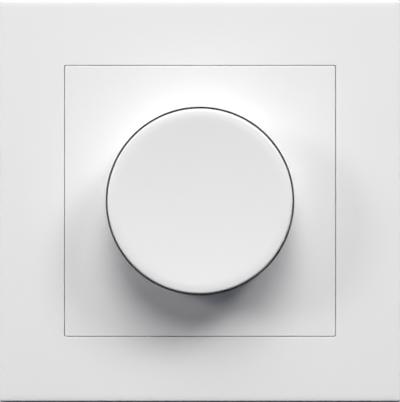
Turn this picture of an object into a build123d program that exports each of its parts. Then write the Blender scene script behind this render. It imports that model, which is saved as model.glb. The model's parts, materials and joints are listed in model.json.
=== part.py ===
from build123d import *
import os
from math import radians, sqrt, tan

# Rotary push dimmer for a 60 mm wall box. In front of the wall: a square cover frame, a centre plate
# with a round well, and a knob that turns to dim and is pressed to switch. In the wall: a steel
# support ring with two spreading claws, and the moulded insert that holds the dimmer's works.
#
# Sizes are millimetres. Every piece is drawn as on a bench, face up: x to the right, y up the wall,
# z out of the wall, with the wall's surface at z = 0. STAND turns a finished piece into the part's
# own frame: X to the right, Y into the wall, Z up.
STAND = Rot(90, 0, 0)

# Fits and clearances
SEAT_GAP = 0.05
RUN_GAP = 0.05
TOUCH_GAP = 0.02
PASS_GAP = 0.3
END_GAP = 0.4

# Cover frame
FRAME_SIDE = 81.6
FRAME_CORNER_R = 0.5
FRAME_EDGE_R = 0.4
FRAME_WALL = 2.0
FRAME_FACE_T = 2.2
FRAME_RIB_T = 1.2
FRAME_RIB_DEPTH = 2.4
FRAME_RIB_OFFSET = 18.0
OPENING_CORNER_R = 0.25
OPENING_CHAMFER = 0.12
COLLAR_T = 1.6
LEDGE_WIDTH = 1.3
LEDGE_T = 1.4

# Centre plate
PLATE_SIDE = 55.0
PLATE_GAP = 0.1
PLATE_CORNER_R = 0.35
PLATE_CHAMFER = 0.15
PLATE_T = 1.8
PLATE_RIB_T = 1.2
PLATE_RIB_DEPTH = 2.0
RIM_DEPTH = 3.3
SKIRT_T = 1.4
WELL_DEPTH = 4.6
WELL_WALL = 1.4
WELL_CHAMFER = 0.12
FLOOR_T = 1.6

# Knob
KNOB_BASE_R = 18.85
KNOB_GAP = 0.3
KNOB_DRAFT_DEG = 1.0
KNOB_PROUD = 12.5
KNOB_EDGE_R = 0.4
KNOB_CROWN_R = 7.5
KNOB_CREST_IN = 1.4
KNOB_DISH = 0.8
KNOB_WALL = 1.8
KNOB_ROOF_T = 1.6
KNOB_RIB_T = 1.2
KNOB_RIB_DEPTH = 6.0
KNOB_RIB_COUNT = 6
HUB_R = 5.2
GRIP_SPRING_T = 0.4
GRIP_SPRING_W = 2.6
PUSH_TRAVEL = 1.8

# Spindle, bush and nut
SPINDLE_R = 3.0
SPINDLE_FLAT = 2.2
SPINDLE_CHAMFER = 0.4
BUSH_R = 5.0
BUSH_FLANGE_R = 6.6
BUSH_FLANGE_T = 1.2
BUSH_CHAMFER = 0.4
NUT_AF = 14.0
NUT_T = 2.5
NUT_CHAMFER = 0.6
THREAD_PROUD = 0.8
CIRCLIP_R = 4.2
CIRCLIP_T = 0.6
GROOVE_R = 2.4
SHOULDER_T = 0.6

# Support ring and box screws
RING_MARGIN = 3.0
RING_T = 1.2
RING_CORNER_R = 9.0
RING_LUG_LENGTH = 8.0
RING_LUG_HEIGHT = 2.0
RING_LUG_OFFSET = 19.0
RING_RELIEF = 1.0
BOX_SCREW_PITCH = 60.0
BOX_SLOT_WIDTH = 3.8
BOX_SLOT_LENGTH = 5.6

# Insert: both housings share one outline, round with two flat sides and a flat bottom
INSERT_R = 27.0
INSERT_HALF_W = 18.4
INSERT_BOTTOM = 23.4
SHELL_T = 1.8
REAR_CHAMFER = 1.0
BOSS_R = 20.8
BOSS_HALF_W = 16.8
BOSS_PROUD = 2.1
FRONT_WALL_T = 2.0
POST_R = 2.4
POST_X = 15.7
POST_Y = 17.7
VENT_COUNT = 6
VENT_PITCH = 3.6
VENT_W = 1.4
VENT_L = 11.0
VENT_Y = 14.0
SCREW_R = 1.2
SCREW_HEAD_R = 2.3
SCREW_HEAD_T = 1.4
SCREW_SLOT_W = 0.7
SCREW_SLOT_DEPTH = 0.7

# Potentiometer
POT_R = 8.8
POT_WALL = 1.0
POT_FRONT_T = 1.0
ROTOR_T = 1.6
WIPER_T = 0.3
WIPER_R = 5.8
WIPER_DOME_R = 0.6
WIPER_DOME_H = 0.4
TRACK_T = 0.6
TRACK_TAG_W = 1.2
TRACK_TAG_PITCH = 3.0
TRACK_TAG_L = 1.6

# Circuit board
BOARD_T = 1.6
BOARD_GAP = 0.3

# Push switch
SWITCH_SIDE = 14.0
SWITCH_FRONT_T = 1.0
SWITCH_REAR_T = 0.8
PLUNGER_R = 4.0
PLUNGER_T = 1.7
PLUNGER_STEM_R = 1.6
PLUNGER_STEM_L = 1.8
BRIDGE_T = 0.4
BRIDGE_W = 2.2
BRIDGE_HALF_L = 5.2
CONTACT_R = 0.9
CONTACT_H = 2.4
SPRING_WIRE_R = 0.25
SPRING_WIRE_SIDES = 6
SPRING_R = 2.4
SPRING_TURNS = 3.5

# Power switch and its cooling
SINK_T = 1.5
SINK_GAP = 0.8
PAD_T = 0.3
TRIAC_W = 10.0
TRIAC_L = 6.6
TRIAC_T = 4.2
TRIAC_TAB_T = 1.3
TRIAC_TAB_L = 1.2
TRIAC_LEG_W = 0.8
TRIAC_LEG_PITCH = 2.54

# Filter and fuse
CHOKE_AT = (-6.4, 15.2)
CHOKE_CORE_R = 5.6
CHOKE_HOLE_R = 3.0
CHOKE_CORE_T = 5.0
CHOKE_WIRE = 0.7
CHOKE_TURNS = 14
CHOKE_ARC_DEG = 310.0
FILM_W = 7.4
FILM_L = 13.0
FILM_H = 10.0
FILM_EDGE_R = 0.5
STORE_AT = (7.4, 15.2)
STORE_R = 4.0
STORE_H = 11.0
STORE_CRIMP = 0.3
STORE_NECK_DEPTH = 1.2
STORE_NECK_W = 0.6
FUSE_R = 2.5
FUSE_L = 20.0
FUSE_CAP_L = 5.0
FUSE_CAP_T = 0.3
FUSE_CLIP_T = 0.5
FUSE_CLIP_W = 3.6
FUSE_CLIP_RISE = 1.2

# Terminals
TERMINAL_COUNT = 3
TERMINAL_PITCH = 8.0
CLAMP_W = 6.6
CLAMP_H = 7.6
CLAMP_L = 11.0
CLAMP_RECESS = 1.0
CLAMP_LEG_W = 2.0
CLAMP_LEG_T = 1.0
WIRE_R = 1.55
WIRE_DEPTH = 9.0
WIRE_UP = 4.7
BLOCK_WALL = 1.0
BLOCK_L = 11.0
CLAMP_SCREW_R = 1.4
CLAMP_SCREW_HEAD_R = 2.2

# Small parts on the board
TRIMMER_AT = (11.6, -10.4)
TRIMMER_SIDE = 6.0
TRIMMER_T = 3.4
TRIMMER_ROTOR_R = 2.2
TRIMMER_ROTOR_T = 1.2
TRIMMER_PIVOT_R = 0.8
TRIMMER_SLOT_W = 0.6
TRIMMER_HOLE_R = 1.8
CHIP_AT = (-11.8, -10.6)
CHIP_W = 5.0
CHIP_L = 4.0
CHIP_T = 1.5
CHIP_LEG_PAIRS = 4
CHIP_LEG_W = 0.45
CHIP_LEG_PITCH = 1.27
CHIP_LEG_REACH = 1.0
CHIP_LEG_T = 0.3
RESISTOR_COUNT = 4
RESISTOR_PITCH = 2.8
RESISTOR_Y = -12.2
RESISTOR_R = 1.0
RESISTOR_L = 5.6
RESISTOR_LEAD = 0.5
RESISTOR_LEAD_REACH = 1.2

# Spreading claws
CLAW_T = 1.4
CLAW_WIDTH = 9.0
CLAW_EYE_R = 1.8
CLAW_SWING_DEG = 25.0
CLAW_LEVER = 4.0
CLAW_LUG_L = 6.2
CLAW_ARM_L = 8.5
CLAW_ARM_OFFSET = 0.5
CLAW_TOOTH_L = 6.6
CLAW_TOOTH_DEG = 32.0
CLAW_TOOTH_COUNT = 3
CLAW_TOOTH_DEPTH = 1.6
CLAW_PIN_R = 1.0
CLAW_PIN_DEPTH = 10.5
CLAW_EAR_T = 2.2
CLAW_SCREW_R = 1.5
CLAW_SCREW_HOLE_R = 1.85
CLAW_SCREW_HEAD_R = 2.4
CLAW_SCREW_HEAD_T = 1.7
CLAW_SCREW_PAST_PIN = 3.4

# Heights in front of the wall
Z_RING = RING_T
Z_BOSS = Z_RING + BOSS_PROUD
Z_FLOOR = Z_BOSS + FLOOR_T
Z_PLATE = Z_FLOOR + WELL_DEPTH
Z_LEDGE = Z_PLATE - RIM_DEPTH
Z_SKIRT = Z_RING + CLAW_SCREW_HEAD_T + END_GAP
Z_NUT = Z_FLOOR + NUT_T
Z_BUSH = Z_NUT + THREAD_PROUD
Z_KNOB_RIM = Z_FLOOR + END_GAP + PUSH_TRAVEL
Z_HUB = Z_BUSH + END_GAP + PUSH_TRAVEL
Z_KNOB = Z_PLATE + KNOB_PROUD
Z_ROOF = Z_KNOB - KNOB_DISH - KNOB_ROOF_T
Z_SPINDLE = Z_ROOF - END_GAP

# Heights behind the front wall, going into the box
Z_INSIDE = Z_BOSS - FRONT_WALL_T
Z_FLANGE = Z_INSIDE - BUSH_FLANGE_T
Z_CIRCLIP = Z_FLANGE - SEAT_GAP
Z_GROOVE = Z_CIRCLIP - CIRCLIP_T - TOUCH_GAP
Z_ROTOR = Z_GROOVE - SHOULDER_T - PUSH_TRAVEL - END_GAP
Z_WIPER = Z_ROTOR - ROTOR_T
Z_TRACK = Z_WIPER - WIPER_T - WIPER_DOME_H - TOUCH_GAP
Z_BOARD = Z_TRACK - TRACK_T
Z_BOARD_REAR = Z_BOARD - BOARD_T
Z_PART = Z_BOARD - BOARD_T / 2
Z_PLUNGER = Z_BOARD_REAR - SWITCH_FRONT_T - SEAT_GAP
Z_BRIDGE = Z_PLUNGER - PLUNGER_T
Z_CONTACT = Z_BRIDGE - BRIDGE_T - PUSH_TRAVEL - TOUCH_GAP
Z_SWITCH_FLOOR = Z_CONTACT - CONTACT_H
Z_SWITCH_REAR = Z_SWITCH_FLOOR - SWITCH_REAR_T
Z_REAR_INSIDE = min(Z_SWITCH_REAR, Z_BOARD_REAR - max(FILM_H, STORE_H)) - PASS_GAP
Z_REAR = Z_REAR_INSIDE - SHELL_T
Z_CLAMP_REAR = Z_REAR + CLAMP_RECESS
Z_CLAMP_SCREW = Z_CLAMP_REAR + WIRE_DEPTH / 2
Z_PIN = -CLAW_PIN_DEPTH
Z_HEAD = Z_REAR + SCREW_HEAD_T

# Places across the wall
WELL_R = KNOB_BASE_R + KNOB_GAP
OPENING_SIDE = PLATE_SIDE + 2 * PLATE_GAP
LEDGE_SIDE = OPENING_SIDE - 2 * LEDGE_WIDTH
RING_SIDE = FRAME_SIDE - 2 * (FRAME_WALL + RING_MARGIN)
SINK_BOTTOM = POT_R + SINK_GAP
SKIRT_SIDE = LEDGE_SIDE - 2 * PLATE_GAP
PIN_X = INSERT_HALF_W + PASS_GAP + CLAW_EYE_R
CLAW_SCREW_X = PIN_X + CLAW_LEVER
EAR_INNER = CLAW_WIDTH / 2 + PASS_GAP
CLAMP_BOTTOM = -(INSERT_BOTTOM - SHELL_T)
WIRE_Y = CLAMP_BOTTOM + WIRE_UP
CLAMP_XS = [(i - (TERMINAL_COUNT - 1) / 2) * TERMINAL_PITCH for i in range(TERMINAL_COUNT)]
POSTS = [(x, y) for x in (-POST_X, POST_X) for y in (-POST_Y, POST_Y)]
FILM_X = INSERT_HALF_W - SHELL_T - BOARD_GAP - FILM_W / 2
FUSE_X = -(INSERT_HALF_W - SHELL_T - BOARD_GAP - FUSE_CLIP_T - FUSE_R)
Z_FUSE = Z_BOARD_REAR - FUSE_CLIP_T - FUSE_CLIP_RISE - FUSE_R


def slab(sketch, low, high):
    """Raise a flat sketch from one height to another."""
    return extrude(Pos(0, 0, low) * sketch, amount=high - low)


def disc(radius, low, high, at=(0, 0)):
    """Round slab about an upright axis."""
    return slab(Pos(*at) * Circle(radius), low, high)


def block(size_x, size_y, low, high, at=(0, 0)):
    """Square-edged slab."""
    return slab(Pos(*at) * Rectangle(size_x, size_y), low, high)


def rod_y(radius, low, high, x, z):
    """Round bar lying along y."""
    return Pos(x, low, z) * Rot(-90, 0, 0) * disc(radius, 0, high - low)


def turned(*points):
    """Turn an outline of (radius, height) points about the upright axis."""
    outline = make_face(Polyline(*points, close=True))
    return revolve(Plane.XZ * outline, Axis.Z)


def flatted(radius, flat):
    """Round section with one flat on its right, at a distance from the axis."""
    return Circle(radius) & (Pos(flat - radius, 0) * Rectangle(2 * radius, 2 * radius))


def edges_at(part, height, reach):
    """Edges that lie level at a height, within a reach of the middle."""
    level = part.edges().filter_by_position(Axis.Z, height - TOUCH_GAP, height + TOUCH_GAP)
    middles = [(edge, edge.center(CenterOf.BOUNDING_BOX)) for edge in level]
    return [edge for edge, at in middles if abs(at.X) <= reach and abs(at.Y) <= reach]


def insert_outline(inset=0.0):
    """Outline of the insert's housings, drawn in by a wall or a gap."""
    radius = INSERT_R - inset
    bottom = INSERT_BOTTOM - inset
    window = Rectangle(2 * (INSERT_HALF_W - inset), radius + bottom)
    return Circle(radius) & (Pos(0, (radius - bottom) / 2) * window)


def boss_outline(inset=0.0):
    """Outline of the insert's front boss, which fills the support ring's opening."""
    radius = BOSS_R - inset
    return Circle(radius) & Rectangle(2 * (BOSS_HALF_W - inset), 2 * radius)


def make_cover_frame():
    """Hollow moulded frame with a collar round its opening, a ledge under the plate, and ribs."""
    face_back = Z_PLATE - FRAME_FACE_T
    inside = FRAME_SIDE - 2 * FRAME_WALL
    collar = OPENING_SIDE + 2 * COLLAR_T
    frame = slab(RectangleRounded(FRAME_SIDE, FRAME_SIDE, FRAME_CORNER_R), 0, Z_PLATE)
    frame = fillet(frame.faces().sort_by(Axis.Z)[-1].edges(), FRAME_EDGE_R)
    frame -= block(inside, inside, 0, face_back)
    frame += block(collar, collar, Z_LEDGE - LEDGE_T, face_back)
    rib_from = collar / 2 - COLLAR_T / 2
    rib_to = inside / 2 + FRAME_WALL / 2
    for turn in range(4):
        for offset in (-FRAME_RIB_OFFSET, FRAME_RIB_OFFSET):
            place = ((rib_from + rib_to) / 2, offset)
            rib = block(rib_to - rib_from, FRAME_RIB_T, face_back - FRAME_RIB_DEPTH, face_back, place)
            frame += Rot(0, 0, 90 * turn) * rib
    frame -= slab(RectangleRounded(OPENING_SIDE, OPENING_SIDE, OPENING_CORNER_R), Z_LEDGE, Z_PLATE)
    frame -= block(LEDGE_SIDE, LEDGE_SIDE, 0, Z_PLATE)
    return chamfer(edges_at(frame, Z_PLATE, OPENING_SIDE / 2), OPENING_CHAMFER)


def make_centre_plate():
    """Square plate with a rim on the frame's ledge, a skirt, and a round well for the knob."""
    plate_back = Z_PLATE - PLATE_T
    plate = slab(RectangleRounded(PLATE_SIDE, PLATE_SIDE, PLATE_CORNER_R), Z_LEDGE, Z_PLATE)
    plate = chamfer(plate.faces().sort_by(Axis.Z)[-1].edges(), PLATE_CHAMFER)
    plate += block(SKIRT_SIDE, SKIRT_SIDE, Z_SKIRT, Z_LEDGE)
    hollow = SKIRT_SIDE - 2 * SKIRT_T
    plate -= block(hollow, hollow, Z_SKIRT, plate_back)
    plate += disc(WELL_R + WELL_WALL, Z_BOSS, plate_back)
    rib_to = hollow / sqrt(2)
    rib = block(rib_to - WELL_R, PLATE_RIB_T, plate_back - PLATE_RIB_DEPTH, plate_back,
                ((WELL_R + rib_to) / 2, 0))
    for turn in range(4):
        plate += Rot(0, 0, 45 + 90 * turn) * rib
    plate -= disc(WELL_R, Z_FLOOR, Z_PLATE)
    plate -= disc(BUSH_R + PASS_GAP, Z_BOSS, Z_FLOOR)
    return chamfer(edges_at(plate, Z_PLATE, TOUCH_GAP), WELL_CHAMFER)


def make_rotary_knob():
    """Cap with drafted sides, a dished and crowned face, ribs, and a hub for the flatted spindle."""
    crown_z = Z_KNOB - KNOB_CROWN_R
    edge_z = crown_z + sqrt(KNOB_CROWN_R ** 2 - KNOB_CREST_IN ** 2)
    front_r = KNOB_BASE_R - (edge_z - Z_KNOB_RIM) * tan(radians(KNOB_DRAFT_DEG))
    crest_r = front_r - KNOB_CREST_IN
    # The dish and the crown meet without a crease, so their centres and the meeting are in line
    dish_low = Z_KNOB - KNOB_DISH
    centres = (crest_r ** 2 + KNOB_DISH ** 2) / (2 * KNOB_DISH)
    dish_r = centres - KNOB_CROWN_R
    dish_z = dish_low + dish_r
    share = dish_r / centres
    meeting = (crest_r * share, dish_z + (crown_z - dish_z) * share)
    edge = (front_r, edge_z)
    side = Polyline((0, dish_low), (0, Z_KNOB_RIM), (KNOB_BASE_R, Z_KNOB_RIM), edge)
    crown = RadiusArc(edge, meeting, -KNOB_CROWN_R)
    dish = RadiusArc(meeting, (0, dish_low), dish_r)
    section = make_face(side + crown + dish)
    section = fillet(section.vertices().sort_by_distance(edge)[0], KNOB_EDGE_R)
    knob = revolve(Plane.XZ * section, Axis.Z)
    rim_in = KNOB_BASE_R - KNOB_WALL
    roof_in = front_r - KNOB_WALL
    knob -= turned((0, Z_KNOB_RIM), (rim_in, Z_KNOB_RIM), (roof_in, Z_ROOF), (0, Z_ROOF))
    knob += disc(HUB_R, Z_HUB, Z_ROOF)
    rib_from = SPINDLE_R + (HUB_R - SPINDLE_R) / 2
    rib_to = roof_in + KNOB_WALL / 2
    rib = block(rib_to - rib_from, KNOB_RIB_T, Z_ROOF - KNOB_RIB_DEPTH, Z_ROOF,
                ((rib_from + rib_to) / 2, 0))
    for turn in range(KNOB_RIB_COUNT):
        knob += Rot(0, 0, (turn + 0.5) * 360 / KNOB_RIB_COUNT) * rib
    bore_flat = SPINDLE_FLAT + GRIP_SPRING_T + 2 * TOUCH_GAP
    return knob - slab(flatted(SPINDLE_R + SEAT_GAP, bore_flat), Z_HUB, Z_ROOF)


def make_knob_grip_spring():
    """Leaf pressed between the hub's bore and the spindle's flat."""
    place = (SPINDLE_FLAT + TOUCH_GAP + GRIP_SPRING_T / 2, 0)
    return block(GRIP_SPRING_T, GRIP_SPRING_W, Z_HUB + END_GAP, Z_SPINDLE, place)


def make_spindle_nut():
    """Hexagon nut with a turned chamfer, screwed down on the centre plate."""
    nut = slab(RegularPolygon(NUT_AF / 2, 6, major_radius=False), Z_FLOOR, Z_NUT)
    corner = NUT_AF / sqrt(3)
    nut &= chamfer(edges_at(disc(corner, Z_FLOOR, Z_NUT), Z_NUT, TOUCH_GAP), NUT_CHAMFER)
    return nut - disc(BUSH_R + SEAT_GAP, Z_FLOOR, Z_NUT)


def make_threaded_bush():
    """Brass bearing with a flange behind the front wall and the nut's thread in front."""
    bush = disc(BUSH_R, Z_INSIDE, Z_BUSH)
    bush = chamfer(edges_at(bush, Z_BUSH, TOUCH_GAP), BUSH_CHAMFER)
    bush += disc(BUSH_FLANGE_R, Z_FLANGE, Z_INSIDE)
    return bush - disc(SPINDLE_R + RUN_GAP, Z_FLANGE, Z_BUSH)


def make_spindle():
    """Steel shaft with a flat for the knob, a groove for the circlip and a flat for the rotor."""
    rear = Z_PLUNGER + TOUCH_GAP
    flat_from = Z_BUSH + END_GAP
    shoulder_rear = Z_GROOVE - SHOULDER_T
    front = slab(flatted(SPINDLE_R, SPINDLE_FLAT), flat_from, Z_SPINDLE)
    spindle = chamfer(edges_at(front, Z_SPINDLE, SPINDLE_R), SPINDLE_CHAMFER)
    spindle += disc(SPINDLE_R, Z_CIRCLIP + TOUCH_GAP, flat_from)
    spindle += disc(GROOVE_R, Z_GROOVE, Z_CIRCLIP + TOUCH_GAP)
    spindle += disc(SPINDLE_R, shoulder_rear, Z_GROOVE)
    return spindle + slab(flatted(SPINDLE_R, SPINDLE_FLAT), rear, shoulder_rear)


def make_spindle_circlip():
    """Open ring in the spindle's groove, behind the bush."""
    ring = Circle(CIRCLIP_R) - Circle(GROOVE_R + TOUCH_GAP)
    mouth = Pos(0, -CIRCLIP_R) * Rectangle(2 * GROOVE_R, 2 * CIRCLIP_R)
    return slab(ring - mouth, Z_CIRCLIP - CIRCLIP_T, Z_CIRCLIP)


def make_support_ring():
    """Stamped steel ring: box-screw slots, claw-screw holes and bent lugs that centre the frame."""
    ring = slab(RectangleRounded(RING_SIDE, RING_SIDE, RING_CORNER_R), 0, Z_RING)
    ring -= slab(boss_outline(-SEAT_GAP), 0, Z_RING)
    slot = Pos(BOX_SCREW_PITCH / 2, 0) * SlotOverall(BOX_SLOT_LENGTH, BOX_SLOT_WIDTH)
    edge = RING_SIDE / 2
    lug_x = edge - RING_T / 2
    relief_depth = 2 * RING_T
    relief_y = RING_LUG_LENGTH / 2 + RING_RELIEF / 2
    for turn in range(4):
        spin = Rot(0, 0, 90 * turn)
        ring -= slab(spin * slot, 0, Z_RING)
        for offset in (-RING_LUG_OFFSET, RING_LUG_OFFSET):
            ring += spin * block(RING_T, RING_LUG_LENGTH, 0, Z_RING + RING_LUG_HEIGHT, (lug_x, offset))
            for side in (-relief_y, relief_y):
                relief = (edge - relief_depth / 2, offset + side)
                ring -= spin * block(relief_depth, RING_RELIEF, 0, Z_RING, relief)
    for at in POSTS:
        ring -= disc(SCREW_R + SEAT_GAP, 0, Z_RING, at)
    for x in (-CLAW_SCREW_X, CLAW_SCREW_X):
        ring -= disc(CLAW_SCREW_R + RUN_GAP, 0, Z_RING, (x, 0))
    bends = [e for e in edges_at(ring, 0, edge) if abs(e.length - RING_LUG_LENGTH) < TOUCH_GAP]
    return fillet(bends, RING_T / 2)


def make_front_housing():
    """Moulded front half: boss through the ring, screw posts, and holes for bush and trimmer."""
    shoulder = -SHELL_T
    housing = slab(insert_outline(), Z_PART, 0) + slab(boss_outline(), 0, Z_BOSS)
    housing -= slab(insert_outline(SHELL_T), Z_PART, shoulder)
    housing -= slab(boss_outline(SHELL_T), shoulder, Z_INSIDE)
    for at in POSTS:
        housing += disc(POST_R, Z_BOARD, shoulder, at)
        housing -= disc(SCREW_R + SEAT_GAP, Z_PART, 0, at)
    housing -= disc(BUSH_R + SEAT_GAP, Z_INSIDE, Z_BOSS)
    return housing - disc(TRIMMER_HOLE_R, Z_INSIDE, Z_BOSS, TRIMMER_AT)


def make_rear_housing():
    """Moulded rear half: vents, screw posts, the claws' bearing ears and the terminal block."""
    housing = slab(insert_outline(), Z_REAR, Z_PART)
    housing = chamfer(housing.faces().sort_by(Axis.Z)[0].edges(), REAR_CHAMFER)
    housing -= slab(insert_outline(SHELL_T), Z_REAR_INSIDE, Z_PART)
    for at in POSTS:
        housing += disc(POST_R, Z_REAR_INSIDE, Z_BOARD_REAR, at)
        housing -= disc(SCREW_R + SEAT_GAP, Z_REAR, Z_PART, at)
        housing -= disc(SCREW_HEAD_R + SEAT_GAP, Z_REAR, Z_HEAD, at)
    for i in range(VENT_COUNT):
        vent = Pos((i - (VENT_COUNT - 1) / 2) * VENT_PITCH, VENT_Y) * SlotOverall(VENT_L, VENT_W, 90)
        housing -= slab(vent, Z_REAR, Z_REAR_INSIDE)
    housing = add_claw_ears(housing)
    return add_terminal_block(housing)


def add_claw_ears(housing):
    """Two bored ears on each flat side carry a claw's pin."""
    ear = Circle(CLAW_EYE_R) + Pos(-CLAW_EYE_R, 0) * Rectangle(2 * CLAW_EYE_R, 2 * CLAW_EYE_R)
    ear -= Circle(CLAW_PIN_R + TOUCH_GAP)
    inside = slab(insert_outline(SHELL_T / 2), Z_REAR, Z_PART)
    for low in (EAR_INNER, -EAR_INNER - CLAW_EAR_T):
        right = Pos(PIN_X, low + CLAW_EAR_T, Z_PIN) * extrude(Plane.XZ * ear, amount=CLAW_EAR_T)
        right -= inside
        housing += right
        housing += mirror(right, about=Plane.YZ)
    return housing


def add_terminal_block(housing):
    """Solid block at the bottom, pierced by a pocket and a screw hole for each clamp."""
    wall_in = CLAMP_W / 2 + SEAT_GAP
    width = CLAMP_XS[-1] - CLAMP_XS[0] + 2 * (wall_in + BLOCK_WALL)
    pocket_top = CLAMP_BOTTOM + CLAMP_H + SEAT_GAP
    top = pocket_top + BLOCK_WALL
    bottom = CLAMP_BOTTOM - SHELL_T / 2
    housing += block(width, top - bottom, Z_REAR_INSIDE, Z_REAR + BLOCK_L, (0, (top + bottom) / 2))
    for x in CLAMP_XS:
        pocket_at = (x, (pocket_top + CLAMP_BOTTOM - SEAT_GAP) / 2)
        pocket_h = pocket_top - CLAMP_BOTTOM + SEAT_GAP
        housing -= block(2 * wall_in, pocket_h, Z_REAR, Z_REAR + BLOCK_L, pocket_at)
        housing -= rod_y(CLAMP_SCREW_HEAD_R + PASS_GAP, -INSERT_BOTTOM, CLAMP_BOTTOM, x, Z_CLAMP_SCREW)
    return housing


def make_housing_screws():
    """Screws from the rear that hold both housings and the board to the support ring."""
    screw = disc(SCREW_R, Z_HEAD, Z_RING) + disc(SCREW_HEAD_R, Z_REAR, Z_HEAD)
    screw -= block(2 * SCREW_HEAD_R, SCREW_SLOT_W, Z_REAR, Z_REAR + SCREW_SLOT_DEPTH)
    return [Pos(x, y, 0) * screw for x, y in POSTS]


def make_pot_body():
    """Round can that holds the rotor, open at the rear where the track closes it."""
    body = disc(POT_R, Z_TRACK, Z_FLANGE)
    body -= disc(POT_R - POT_WALL, Z_TRACK, Z_FLANGE - POT_FRONT_T)
    return body - disc(CIRCLIP_R + PASS_GAP, Z_TRACK, Z_FLANGE)


def make_pot_track():
    """Insulating disc with the resistance track, and tags that are soldered to the board."""
    track = disc(POT_R, Z_BOARD, Z_TRACK) - disc(SPINDLE_R + PASS_GAP, Z_BOARD, Z_TRACK)
    for place in (-1, 0, 1):
        tag_at = (place * TRACK_TAG_PITCH, -POT_R)
        track += block(TRACK_TAG_W, 2 * TRACK_TAG_L, Z_BOARD, Z_TRACK, tag_at)
    return track


def make_pot_rotor():
    """Disc that the spindle's flat turns, and that the spindle slides through when pressed."""
    rotor = disc(POT_R - POT_WALL - PASS_GAP, Z_WIPER, Z_ROTOR)
    return rotor - slab(flatted(SPINDLE_R + RUN_GAP, SPINDLE_FLAT + RUN_GAP), Z_WIPER, Z_ROTOR)


def make_pot_wiper():
    """Sprung ring on the rotor's back, with a dome that rubs on the track."""
    inner = WIPER_R - WIPER_DOME_R
    ring = Circle(WIPER_R + WIPER_DOME_R) - Circle(inner)
    wiper = slab(ring, Z_WIPER - WIPER_T, Z_WIPER)
    return wiper + disc(WIPER_DOME_R, Z_WIPER - WIPER_T - WIPER_DOME_H, Z_WIPER - WIPER_T, (0, WIPER_R))


def make_circuit_board():
    """Board clamped between the housings' posts."""
    board = slab(insert_outline(SHELL_T + BOARD_GAP), Z_BOARD_REAR, Z_BOARD)
    board -= disc(SPINDLE_R + PASS_GAP, Z_BOARD_REAR, Z_BOARD)
    for at in POSTS:
        board -= disc(SCREW_R + SEAT_GAP, Z_BOARD_REAR, Z_BOARD, at)
    return board


def make_switch_body():
    """Square case with a round guide for the plunger and a slot for the contact bridge."""
    slot_l = 2 * (BRIDGE_HALF_L + PASS_GAP)
    slot_w = BRIDGE_W + 2 * PASS_GAP
    cavity_front = Z_BOARD_REAR - SWITCH_FRONT_T
    body = block(SWITCH_SIDE, SWITCH_SIDE, Z_SWITCH_REAR, Z_BOARD_REAR)
    body -= disc(PLUNGER_R + RUN_GAP, Z_SWITCH_FLOOR, cavity_front)
    body -= block(slot_l, slot_w, Z_SWITCH_FLOOR, cavity_front)
    return body - disc(SPINDLE_R + PASS_GAP, cavity_front, Z_BOARD_REAR)


def make_switch_plunger():
    """Piston pressed by the spindle's end, with a stem that centres the spring."""
    piston = disc(PLUNGER_R, Z_BRIDGE, Z_PLUNGER)
    return piston + disc(PLUNGER_STEM_R, Z_BRIDGE - PLUNGER_STEM_L, Z_BRIDGE)


def make_switch_spring():
    """Coil between the plunger and the floor of the switch, its wire drawn with a few flat sides."""
    low = Z_SWITCH_FLOOR + SPRING_WIRE_R + TOUCH_GAP
    height = Z_BRIDGE - SPRING_WIRE_R - TOUCH_GAP - low
    path = Pos(0, 0, low) * Helix(height / SPRING_TURNS, height, SPRING_R)
    start = Plane(origin=path @ 0, z_dir=path % 0)
    wire = RegularPolygon(SPRING_WIRE_R, SPRING_WIRE_SIDES)
    return sweep(start * wire, path=path, is_frenet=True)


def make_contact_bridge():
    """Strip under the plunger with a hole for the spring, which joins the two fixed contacts."""
    hole_r = SPRING_R + SPRING_WIRE_R + PASS_GAP
    strip = Circle(PLUNGER_R - PASS_GAP) + Rectangle(2 * BRIDGE_HALF_L, BRIDGE_W)
    return slab(strip - Circle(hole_r), Z_BRIDGE - BRIDGE_T, Z_BRIDGE)


def make_fixed_contacts():
    """Two contact rivets on the floor of the switch."""
    x = BRIDGE_HALF_L - CONTACT_R
    return [disc(CONTACT_R, Z_SWITCH_FLOOR, Z_CONTACT, (side * x, 0)) for side in (-1, 1)]


def make_heat_sink_plate():
    """Aluminium plate in the top of the boss, under the front wall."""
    outline = boss_outline(SHELL_T + PASS_GAP)
    above = Pos(0, SINK_BOTTOM + BOSS_R) * Rectangle(2 * BOSS_R, 2 * BOSS_R)
    return slab(outline & above, Z_INSIDE - SINK_T, Z_INSIDE)


def make_insulating_pad():
    """Thin pad between the heat sink and the triac's tab."""
    length = TRIAC_L + TRIAC_TAB_L
    front = Z_INSIDE - SINK_T
    return block(TRIAC_W, length, front - PAD_T, front, (0, SINK_BOTTOM + length / 2))


def make_triac():
    """Power package: metal tab, moulded body and three legs down to the board."""
    front = Z_INSIDE - SINK_T - PAD_T
    length = TRIAC_L + TRIAC_TAB_L
    triac = block(TRIAC_W, length, front - TRIAC_TAB_T, front, (0, SINK_BOTTOM + length / 2))
    body_at = (0, SINK_BOTTOM + TRIAC_L / 2)
    triac += block(TRIAC_W, TRIAC_L, front - TRIAC_T, front - TRIAC_TAB_T, body_at)
    for place in (-1, 0, 1):
        leg_at = (place * TRIAC_LEG_PITCH, SINK_BOTTOM + TRIAC_L / 2)
        triac += block(TRIAC_LEG_W, TRIAC_LEG_W, Z_BOARD, front - TRIAC_T, leg_at)
    return triac


def make_choke_core():
    """Ring core that lies flat behind the board."""
    front = Z_BOARD_REAR - CHOKE_WIRE - SEAT_GAP
    core = disc(CHOKE_CORE_R, front - CHOKE_CORE_T, front, CHOKE_AT)
    return core - disc(CHOKE_HOLE_R, front - CHOKE_CORE_T, front, CHOKE_AT)


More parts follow.
